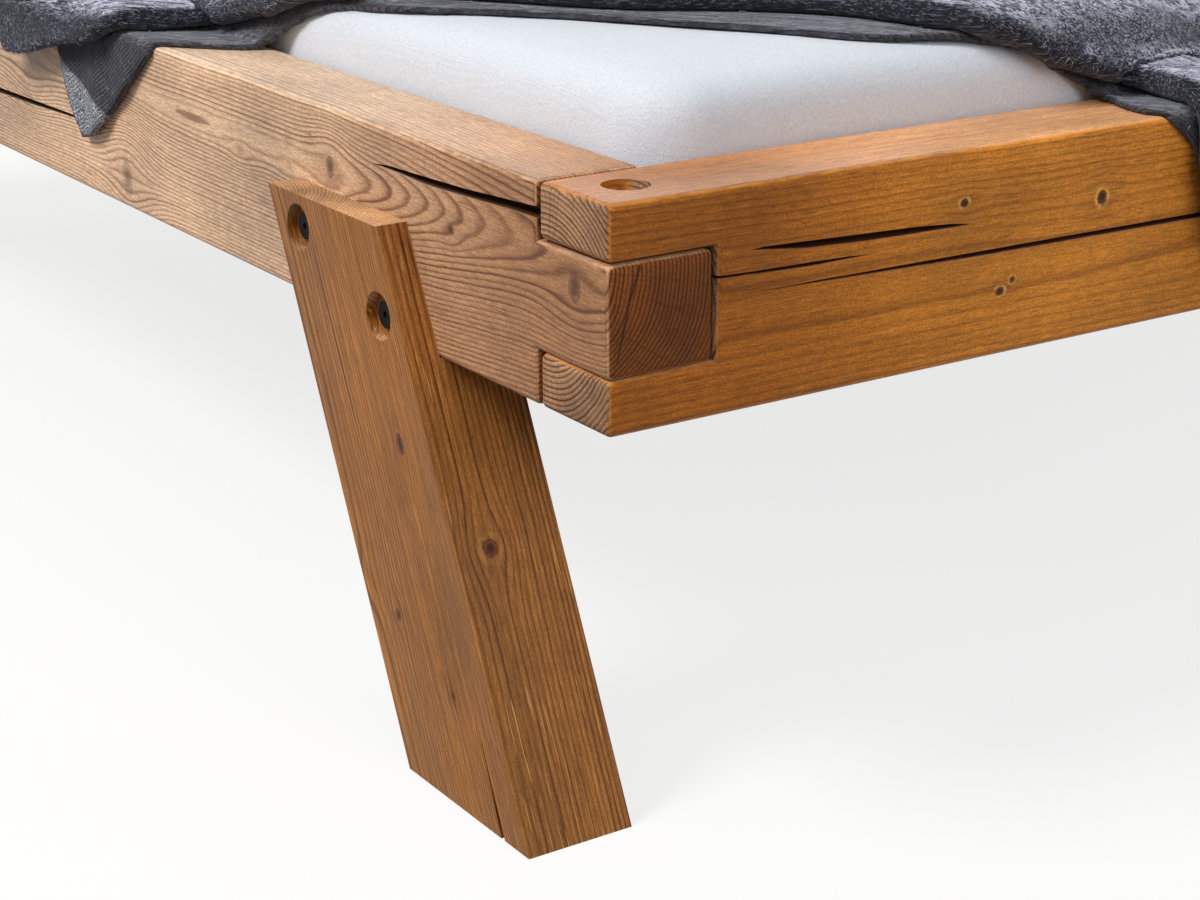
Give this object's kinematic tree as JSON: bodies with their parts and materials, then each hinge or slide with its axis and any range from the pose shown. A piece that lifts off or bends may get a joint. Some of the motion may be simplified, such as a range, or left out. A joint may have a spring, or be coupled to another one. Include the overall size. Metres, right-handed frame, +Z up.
{
  "type": "beam bed",
  "caption": "Low double bed of square-sawn spruce beams with finger-jointed corners and slanted beam legs, with slats, mattress, fitted sheet and a folded wool throw.",
  "frame": {"origin": "on the floor, under the middle of the frame", "axes": "+Z up; X across the bed, the pictured side at -X; Y along the bed, the foot end at -Y"},
  "size_m": [1.81, 2.1778, 0.5356],
  "materials": {
    "beam_wood": "satin",
    "slat_wood": "matte",
    "zinc_steel": "satin",
    "black_steel": "satin",
    "black_plastic": "matte",
    "webbing": "matte",
    "mattress_cover": "matte",
    "white_jersey": "matte",
    "grey_wool": "matte"
  },
  "bodies": {
    "bed": {"side_rail_left": "beam_wood", "side_rail_right": "beam_wood", "end_rail_foot": "beam_wood", "end_rail_head": "beam_wood", "leg_foot_left": "beam_wood", "leg_foot_right": "beam_wood", "leg_head_left": "beam_wood", "leg_head_right": "beam_wood", "slat_01": "slat_wood", "slat_02": "slat_wood", "slat_03": "slat_wood", "slat_04": "slat_wood", "slat_05": "slat_wood", "slat_06": "slat_wood", "slat_07": "slat_wood", "slat_08": "slat_wood", "slat_09": "slat_wood", "slat_10": "slat_wood", "slat_11": "slat_wood", "slat_12": "slat_wood", "slat_13": "slat_wood", "slat_14": "slat_wood", "slat_15": "slat_wood", "slat_16": "slat_wood", "slat_17": "slat_wood", "slat_18": "slat_wood", "slat_cleat_left": "slat_wood", "slat_cleat_right": "slat_wood", "centre_beam": "slat_wood", "centre_leg": "slat_wood", "corner_bolts": "zinc_steel", "corner_washers": "zinc_steel", "corner_nuts": "zinc_steel", "leg_bolt_inserts": "zinc_steel", "cleat_screws": "zinc_steel", "beam_hanger_foot": "zinc_steel", "beam_hanger_head": "zinc_steel", "hanger_screws": "zinc_steel", "centre_leg_plate": "zinc_steel", "centre_plate_screws": "zinc_steel", "centre_leg_hanger_bolt": "zinc_steel", "levelling_insert": "zinc_steel", "slat_staples": "zinc_steel", "leg_bolts": "black_steel", "slat_strap_left": "webbing", "slat_strap_right": "webbing", "mattress": "mattress_cover", "fitted_sheet": "white_jersey", "throw": "grey_wool"},
    "levelling_foot": {"levelling_screw": "zinc_steel", "levelling_pad": "black_plastic"}
  },
  "joints": [
    {"name": "levelling_foot_slide", "type": "slide", "parent": "bed", "child": "levelling_foot", "axis": [0, 0, 1], "range_m": [-0.008, 0.0115]}
  ]
}
